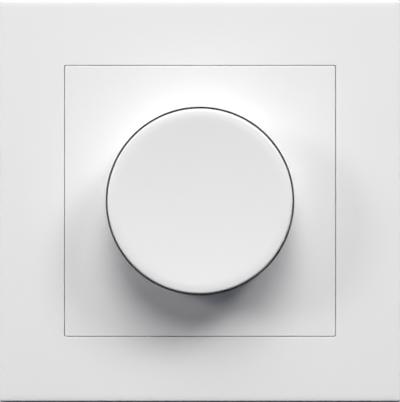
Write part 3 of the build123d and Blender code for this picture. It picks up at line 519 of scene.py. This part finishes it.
head_rim = rim_arc(SCREW_HEAD_R, SCREW_LOW.y, SCREW_HEAD_RIM, HEAD_RIM_STEPS)
screw = draw_thread("screw")
pick_end(thread_middle, rear=True)
round_off(core_r - SCREW_TIP / 2, SCREW_HIGH.y)
bpy.ops.mesh.edge_face_add()
pick_end(thread_middle, rear=False)
round_off(core_r, neck_to)
draw_loops([
    (core_r, neck_to),
    (core_r, head_under),
    (SCREW_HEAD_R, head_under),
] + head_rim[::-1])
bpy.ops.mesh.edge_face_add()
close_piece()
slot_low = Vector((-2 * SCREW_HEAD_R, SCREW_LOW.y - SCREW_SLOT, -SCREW_SLOT / 2))
slot_high = Vector((2 * SCREW_HEAD_R, SCREW_LOW.y + SCREW_SLOT, SCREW_SLOT / 2))
combine(screw, [bar(slot_low, slot_high)], "DIFFERENCE")
for side, x in (("right", SCREW_X), ("left", -SCREW_X)):
    copy = bpy.data.objects.new("threaded_claw_screw_" + side, screw.data.copy())
    bpy.context.scene.collection.objects.link(copy)
    take_up(copy)
    copy.location.x = x
    bpy.ops.object.transform_apply(location=True, rotation=False, scale=False)
    hand_over(copy, zinc, side + "_screw", "claw_screw_" + side)
bpy.data.objects.remove(screw)


# Bush, nut and spindle
# A turned brass bush through the front wall carries the steel spindle, which a circlip holds. A
# nickelled nut on the bush clamps the centre plate, and with it the frame, to the insert.
BUSH_EDGE = 0.1 * MM
NUT_EDGE = 0.15 * MM
SPINDLE_EDGE = 0.1 * MM
soften("threaded_bush", brass, BUSH_EDGE)
soften("spindle_nut", nickel, NUT_EDGE)
soften("spindle", turned_steel, SPINDLE_EDGE)
coat(spring_steel, "spindle_circlip")


# Cover frame
# A square moulding in polished white plastic, hollow behind its face. A ledge round its opening
# carries the centre plate, which clamps it to the wall.
WHITE = Vector((0.8, 0.802, 0.806))
WHITE_SHADE = 0.992
WHITE_FLOW = 14 * MM
ORANGE_PEEL = 2.2 * MM
ORANGE_PEEL_DEPTH = 0.0003 * MM
PLASTIC_IOR = 1.5
FRAME_LOW, FRAME_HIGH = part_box("cover_frame")
FRAME_HALF = FRAME_HIGH.x
FRAME_FRONT = FRAME_LOW.y
FRAME_BACK = FRAME_HIGH.y
FRAME_WALL = 2.0 * MM
FRAME_FACE = 2.2 * MM
FRAME_CORNER = 0.5 * MM
EDGE_R = 0.4 * MM
CROWN_R = 7.5 * MM
CREST_IN = 1.4 * MM
OPENING_HALF = 27.6 * MM
OPENING_RIM = 0.12 * MM
COLLAR = 1.6 * MM
LEDGE_DEPTH = 3.3 * MM
LEDGE = 1.4 * MM
LEDGE_WIDTH = 1.3 * MM
RIB = 1.2 * MM
RIB_DEPTH = 2.4 * MM
RIB_OFFSET = 18.0 * MM
CORNER_STEPS = 6
CROWN_STEPS = 8
EDGE_STEPS = 6
RIM_STEPS = 3
STRAIGHT = 0.999
face_back = FRAME_FRONT + FRAME_FACE
ledge_front = FRAME_FRONT + LEDGE_DEPTH
ledge_back = ledge_front + LEDGE
inside_half = FRAME_HALF - FRAME_WALL
collar_half = OPENING_HALF + COLLAR
ledge_half = OPENING_HALF - LEDGE_WIDTH


def polished_white(name, white):
    """Glossy white plastic, with the faint unevenness of a polished mould."""
    material, tree, shader, place = new_finish(name)
    flow = grain(tree, place, WHITE_FLOW)
    peel = grain(tree, place, ORANGE_PEEL, detail=0.0)
    tint(tree, flow, WHITE_SHADE * white, white, shader)
    polish(tree, peel, smooth=0.29, rough=0.33, shader=shader)
    emboss(tree, peel, ORANGE_PEEL_DEPTH, shader)
    shader.inputs["IOR"].default_value = PLASTIC_IOR
    return material


def open_loop(name):
    """Put the new loop's place into its mesh and leave its edges selected for drawing on."""
    piece = bpy.context.active_object
    piece.name = name
    bpy.ops.object.transform_apply(location=True, rotation=True, scale=True)
    bpy.ops.object.mode_set(mode="EDIT")
    bpy.ops.mesh.select_mode(type="EDGE")
    bpy.ops.mesh.select_all(action="SELECT")
    bpy.ops.mesh.delete(type="ONLY_FACE")
    bpy.ops.mesh.select_all(action="SELECT")
    return piece


def pick_edges(test):
    """Select the edges whose middle and direction pass a test."""
    bpy.ops.mesh.select_all(action="DESELECT")
    mesh = bmesh.from_edit_mesh(bpy.context.edit_object.data)
    for edge in mesh.edges:
        first, second = (vertex.co for vertex in edge.verts)
        edge.select_set(test((first + second) / 2, (second - first).normalized()))
    bmesh.update_edit_mesh(bpy.context.edit_object.data)


def start_square(name, half, y, corner, cuts=0):
    """Begin a piece as one square loop with rounded corners, its sides cut into equal lengths."""
    bpy.ops.object.select_all(action="DESELECT")
    bpy.ops.mesh.primitive_plane_add(size=2 * half, location=(0, y, 0), rotation=(math.radians(90), 0, 0))
    piece = open_loop(name)
    bpy.ops.mesh.bevel(offset=corner, segments=CORNER_STEPS, affect="VERTICES")
    if cuts:
        pick_edges(lambda at, way: max(abs(way.x), abs(way.z)) > STRAIGHT)
        bpy.ops.mesh.subdivide(number_cuts=cuts)
        bpy.ops.mesh.select_all(action="SELECT")
    return piece


def crowned_edge(size, front, begin=0.0):
    """Stations over the soft crown of a face, from a tilt of the face, and round its edge to the side."""
    crest = size - CREST_IN
    crown_y = front + CROWN_R
    round_at = size - EDGE_R
    round_y = crown_y - math.sqrt((CROWN_R - EDGE_R) ** 2 - (round_at - crest) ** 2)
    leaving = math.atan2(round_at - crest, crown_y - round_y)
    stations = []
    for step in range(CROWN_STEPS):
        angle = begin + (leaving - begin) * step / CROWN_STEPS
        stations.append((crest + CROWN_R * math.sin(angle), crown_y - CROWN_R * math.cos(angle)))
    for step in range(EDGE_STEPS + 1):
        angle = leaving + (math.radians(90) - leaving) * step / EDGE_STEPS
        stations.append((round_at + EDGE_R * math.sin(angle), round_y - EDGE_R * math.cos(angle)))
    return stations


frame_white = polished_white("frame_white", WHITE)
outer_rim = crowned_edge(FRAME_HALF, FRAME_FRONT)
opening_rim = rim_arc(OPENING_HALF, FRAME_FRONT, -OPENING_RIM, RIM_STEPS)
cover = start_square("white_cover_frame", *outer_rim[0], FRAME_CORNER)
draw_loops(outer_rim + [
    (FRAME_HALF, FRAME_BACK),
    (inside_half, FRAME_BACK),
    (inside_half, face_back),
    (collar_half, face_back),
    (collar_half, ledge_back),
    (ledge_half, ledge_back),
    (ledge_half, ledge_front),
    (OPENING_HALF, ledge_front),
] + opening_rim[::-1] + outer_rim[:1])
close_piece()
ribs = []
for side in range(4):
    for offset in (-RIB_OFFSET, RIB_OFFSET):
        rib_low = Vector((collar_half - COLLAR / 2, face_back - FRAME_FACE / 2, offset - RIB / 2))
        rib_high = Vector((inside_half + FRAME_WALL / 2, face_back + RIB_DEPTH, offset + RIB / 2))
        ribs.append(bar(rib_low, rib_high, math.radians(90 * side)))
combine(cover, ribs, "UNION")
hand_over(cover, frame_white, "base", "cover_frame")


# Centre plate
# A square plate in the same white plastic, flush with the frame, with a round well for the knob.
# The nut on the bush clamps the well's floor to the insert.
PLATE_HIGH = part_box("centre_plate")[1]
PLATE_HALF = PLATE_HIGH.x
PLATE_BACK = PLATE_HIGH.y
PLATE_CORNER = 0.35 * MM
PLATE_RIM = 0.15 * MM
PLATE_T = 1.8 * MM
SKIRT_T = 1.4 * MM
SKIRT_GAP = 0.1 * MM
SKIRT_BACK = -3.3 * MM
WELL_R = 19.15 * MM
WELL_WALL = 1.4 * MM
WELL_RIM = 0.12 * MM
FLOOR_T = 1.6 * MM
FLOOR_HOLE_R = 5.3 * MM
PLATE_RIB_DEPTH = 2.0 * MM
SIDE_CUTS = 47
NEAR = 0.01 * MM
under_face = FRAME_FRONT + PLATE_T
well_floor = PLATE_BACK - FLOOR_T
skirt_half = ledge_half - SKIRT_GAP
hollow_half = skirt_half - SKIRT_T
well_outer = WELL_R + WELL_WALL


def on_plate_rim(at, way):
    """True for an edge of the face's outer loop."""
    return abs(at.y - FRAME_FRONT) < NEAR and max(abs(at.x), abs(at.z)) > PLATE_HALF - PLATE_CORNER


plate_rim = rim_arc(PLATE_HALF, FRAME_FRONT, PLATE_RIM, RIM_STEPS)
well_rim = rim_arc(WELL_R, FRAME_FRONT, -WELL_RIM, RIM_STEPS)
plate = start_square("white_centre_plate", *plate_rim[0], PLATE_CORNER, SIDE_CUTS)
round_off(*well_rim[0])
draw_loops(well_rim + [
    (WELL_R, well_floor),
    (FLOOR_HOLE_R, well_floor),
    (FLOOR_HOLE_R, PLATE_BACK),
    (well_outer, PLATE_BACK),
    (well_outer, under_face),
])
pick_edges(on_plate_rim)
draw_loops(plate_rim + [
    (PLATE_HALF, ledge_front),
    (skirt_half, ledge_front),
    (skirt_half, SKIRT_BACK),
    (hollow_half, SKIRT_BACK),
    (hollow_half, under_face),
])
round_off(well_outer, under_face)
close_piece()
ribs = []
for corner in range(4):
    rib_low = Vector((WELL_R + WELL_WALL / 2, under_face - PLATE_T / 2, -RIB / 2))
    rib_high = Vector((hollow_half * math.sqrt(2), under_face + PLATE_RIB_DEPTH, RIB / 2))
    ribs.append(bar(rib_low, rib_high, math.radians(45 + 90 * corner)))
combine(plate, ribs, "UNION")
hand_over(plate, frame_white, "base", "centre_plate")


# Knob
# A white cap with slightly tapered sides and a dished face, pushed onto the spindle.
# A steel leaf in its hub grips the spindle's flat.
# Painted light: how much lighter the knob's white is written than the frame's, for the brighter light on
# its face
KNOB_PAINTED_LIGHTER = 1.03
KNOB_LOW, KNOB_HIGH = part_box("rotary_knob")
KNOB_RIM_R = KNOB_HIGH.x
KNOB_FRONT = KNOB_LOW.y
KNOB_REAR = KNOB_HIGH.y
KNOB_TAPER = math.tan(math.radians(1.0))
KNOB_DISH = 0.8 * MM
KNOB_WALL = 1.8 * MM
KNOB_ROOF = 1.6 * MM
HUB_R = 5.2 * MM
HUB_REAR = -10.4 * MM
BORE_R = 3.05 * MM
BORE_FLAT = 2.64 * MM
KNOB_RIB_DEPTH = 6.0 * MM
KNOB_RIBS = 6
KNOB_SIDES = 256
DISH_STEPS = 10
edge_fall = CROWN_R - math.sqrt(CROWN_R ** 2 - CREST_IN ** 2)
front_r = KNOB_RIM_R - (KNOB_REAR - KNOB_FRONT - edge_fall) * KNOB_TAPER
crest_r = front_r - CREST_IN
dish_floor = KNOB_FRONT + KNOB_DISH
roof = dish_floor + KNOB_ROOF
hub_middle_r = (BORE_R + HUB_R) / 2
# The dish is a hollow arc that runs on into the crown's round arc without a crease
centres_apart = (crest_r ** 2 + KNOB_DISH ** 2) / (2 * KNOB_DISH)
dish_r = centres_apart - CROWN_R
meeting_r = crest_r * dish_r / centres_apart
meeting_tilt = math.asin((meeting_r - crest_r) / CROWN_R)


def dish_y(radius):
    """Depth of the dished face at a distance from the axis."""
    return dish_floor - dish_r + math.sqrt(dish_r ** 2 - radius ** 2)


def start_round(name, radius, y, sides):
    """Begin a piece as one round loop that faces the room."""
    bpy.ops.object.select_all(action="DESELECT")
    bpy.ops.mesh.primitive_circle_add(
        vertices=sides, radius=radius, location=(0, y, 0), rotation=(math.radians(90), 0, 0))
    return open_loop(name)


dish_rings = [meeting_r * step / DISH_STEPS for step in range(1, DISH_STEPS)]
knob_stations = [(radius, dish_y(radius)) for radius in dish_rings]
knob_stations += crowned_edge(front_r, KNOB_FRONT, meeting_tilt) + [
    (KNOB_RIM_R, KNOB_REAR),
    (KNOB_RIM_R - KNOB_WALL, KNOB_REAR),
    (front_r - KNOB_WALL, roof),
    (HUB_R, roof),
    (HUB_R, HUB_REAR),
    (BORE_R, HUB_REAR),
    (BORE_R, roof),
]
middle_r, middle_y = knob_stations[0]
knob = start_round("white_knob", middle_r, middle_y, KNOB_SIDES)
draw_loops(knob_stations)
bpy.ops.mesh.merge(type="CENTER")
pick_edges(lambda at, way: Vector((at.x, at.z)).length < middle_r + NEAR and at.y < dish_floor)
bpy.ops.mesh.extrude_edges_move(TRANSFORM_OT_translate={"value": (0, dish_floor - middle_y, 0)})
bpy.ops.mesh.merge(type="CENTER")
close_piece()
flat_low = Vector((BORE_FLAT, roof - KNOB_ROOF / 2, -BORE_R))
flat_high = Vector((hub_middle_r, HUB_REAR, BORE_R))
inner_parts = [bar(flat_low, flat_high)]
for count in range(KNOB_RIBS):
    rib_low = Vector((hub_middle_r, roof - KNOB_ROOF / 2, -RIB / 2))
    rib_high = Vector((front_r - KNOB_WALL / 2, roof + KNOB_RIB_DEPTH, RIB / 2))
    inner_parts.append(bar(rib_low, rib_high, math.radians(360) * (count + 0.5) / KNOB_RIBS))
combine(knob, inner_parts, "UNION")
# Painted light: the knob's white is written a touch lighter than the frame's, standing in for the brighter
# light on the knob's face
knob_painted_white = polished_white("knob_painted_white", KNOB_PAINTED_LIGHTER * WHITE)
hand_over(knob, knob_painted_white, "knob_shaft", "rotary_knob")
coat(spring_steel, "knob_grip_spring")


# Studio
# A pale floor under the frame's lower edge, which fades into a white surround. The main soft lamps
# hang above and to both sides in front. Others light the edges from the sides, and two stand behind.
FLOOR_GAP = 0.2 * MM
FLOOR_SIZE = 4.0
FLOOR_DARK = (0.8, 0.8, 0.8)
FLOOR_PALE = (0.83, 0.83, 0.83)
FLOOR_CLOUDS = 0.3
FLOOR_GRAIN = 0.05
FADE_FROM = 0.25
FADE_TO = 1.2
SURROUND = 1.0
AMBIENT = (0.008, 0.01, 0.03, 1)
LAMP_DISTANCE = 1.4
LAMP_LIGHT = (1.0, 0.995, 0.97)
CAMERA_DISTANCE = 1.2
CAMERA_RIGHT = 3.0 * MM
CAMERA_UP = 6.0 * MM
PIXELS_HIGH = 402
PIXELS_PER_MM = 4.92


def backdrop_share(tree):
    """1 for rays that see the surround, straight or by way of gloss or glass, and 0 for its light."""
    ray = tree.nodes.new("ShaderNodeLightPath")
    seen = ray.outputs["Is Camera Ray"]
    for other in ("Is Glossy Ray", "Is Transmission Ray"):
        either = tree.nodes.new("ShaderNodeMath")
        either.operation = "MAXIMUM"
        tree.links.new(seen, either.inputs[0])
        tree.links.new(ray.outputs[other], either.inputs[1])
        seen = either.outputs["Value"]
    return seen


bpy.ops.object.select_all(action="DESELECT")
bpy.ops.mesh.primitive_plane_add(size=FLOOR_SIZE, location=(0, 0, cad_low.z - FLOOR_GAP))
floor = bpy.context.active_object
floor.name = "studio_floor"
floor_paint, tree, shader, place = new_finish("floor_paint")
tint(tree, grain(tree, place, FLOOR_CLOUDS), FLOOR_DARK, FLOOR_PALE, shader)
polish(tree, grain(tree, place, FLOOR_GRAIN), smooth=0.6, rough=0.7, shader=shader)
distance = tree.nodes.new("ShaderNodeVectorMath")
distance.operation = "LENGTH"
tree.links.new(place, distance.inputs[0])
fade = tree.nodes.new("ShaderNodeMapRange")
fade.inputs["From Min"].default_value = FADE_FROM
fade.inputs["From Max"].default_value = FADE_TO
tree.links.new(distance.outputs["Value"], fade.inputs["Value"])
faded = tree.nodes.new("ShaderNodeMath")
faded.operation = "MULTIPLY"
tree.links.new(fade.outputs["Result"], faded.inputs[0])
tree.links.new(backdrop_share(tree), faded.inputs[1])
surround = tree.nodes.new("ShaderNodeEmission")
surround.inputs["Strength"].default_value = SURROUND
blend = tree.nodes.new("ShaderNodeMixShader")
tree.links.new(faded.outputs["Value"], blend.inputs["Fac"])
tree.links.new(shader.outputs["BSDF"], blend.inputs[1])
tree.links.new(surround.outputs["Emission"], blend.inputs[2])
tree.links.new(blend.outputs["Shader"], tree.nodes["Material Output"].inputs["Surface"])
floor.data.materials.append(floor_paint)
# The photo's shadows are deep, so the floor throws no light back on the object
floor.visible_diffuse = False

world = bpy.data.worlds.new("white_surround")
bpy.context.scene.world = world
world.use_nodes = True
tree = world.node_tree
sky = tree.nodes.new("ShaderNodeMixRGB")
sky.inputs["Color1"].default_value = AMBIENT
sky.inputs["Color2"].default_value = (SURROUND, SURROUND, SURROUND, 1)
tree.links.new(backdrop_share(tree), sky.inputs["Fac"])
tree.links.new(sky.outputs["Color"], tree.nodes["Background"].inputs["Color"])


def soft_lamp(name, from_front, round_from_right, width, power):
    """A round soft lamp aimed at the object, placed by two angles in degrees.

    The first is measured from straight in front, the second round the front from the right.
    """
    tilt = math.radians(from_front)
    turn = math.radians(round_from_right)
    way = Vector((math.sin(tilt) * math.cos(turn), -math.cos(tilt), math.sin(tilt) * math.sin(turn)))
    lamp = bpy.data.lights.new(name, "AREA")
    lamp.shape = "DISK"
    lamp.size = width
    lamp.energy = power
    lamp.color = LAMP_LIGHT
    holder = bpy.data.objects.new(name, lamp)
    bpy.context.scene.collection.objects.link(holder)
    holder.location = LAMP_DISTANCE * way
    holder.rotation_euler = (-way).to_track_quat("-Z", "Y").to_euler()


soft_lamp("overhead_lamp", from_front=39, round_from_right=90, width=0.84, power=13.5)
soft_lamp("high_lamp", from_front=58, round_from_right=95, width=0.5, power=2.5)
soft_lamp("right_lamp", from_front=53, round_from_right=49, width=0.42, power=7.1)
soft_lamp("left_lamp", from_front=55, round_from_right=160, width=0.38, power=4.7)
soft_lamp("right_side_lamp", from_front=96, round_from_right=0, width=0.63, power=5.9)
soft_lamp("left_side_lamp", from_front=96, round_from_right=180, width=0.63, power=7.8)
soft_lamp("back_right_lamp", from_front=130, round_from_right=55, width=0.63, power=6.9)
soft_lamp("back_left_lamp", from_front=130, round_from_right=125, width=0.63, power=6.9)

camera = bpy.data.cameras.new("camera")
eye = bpy.data.objects.new("camera", camera)
bpy.context.scene.collection.objects.link(eye)
aim = Vector((0, FRAME_FRONT, 0))
eye.location = aim + Vector((CAMERA_RIGHT, -CAMERA_DISTANCE, CAMERA_UP))
eye.rotation_euler = (aim - eye.location).to_track_quat("-Z", "Y").to_euler()
camera.lens = PIXELS_PER_MM / MM * camera.sensor_width * CAMERA_DISTANCE / PIXELS_HIGH
bpy.context.scene.camera = eye
bpy.context.scene.view_settings.view_transform = "Standard"
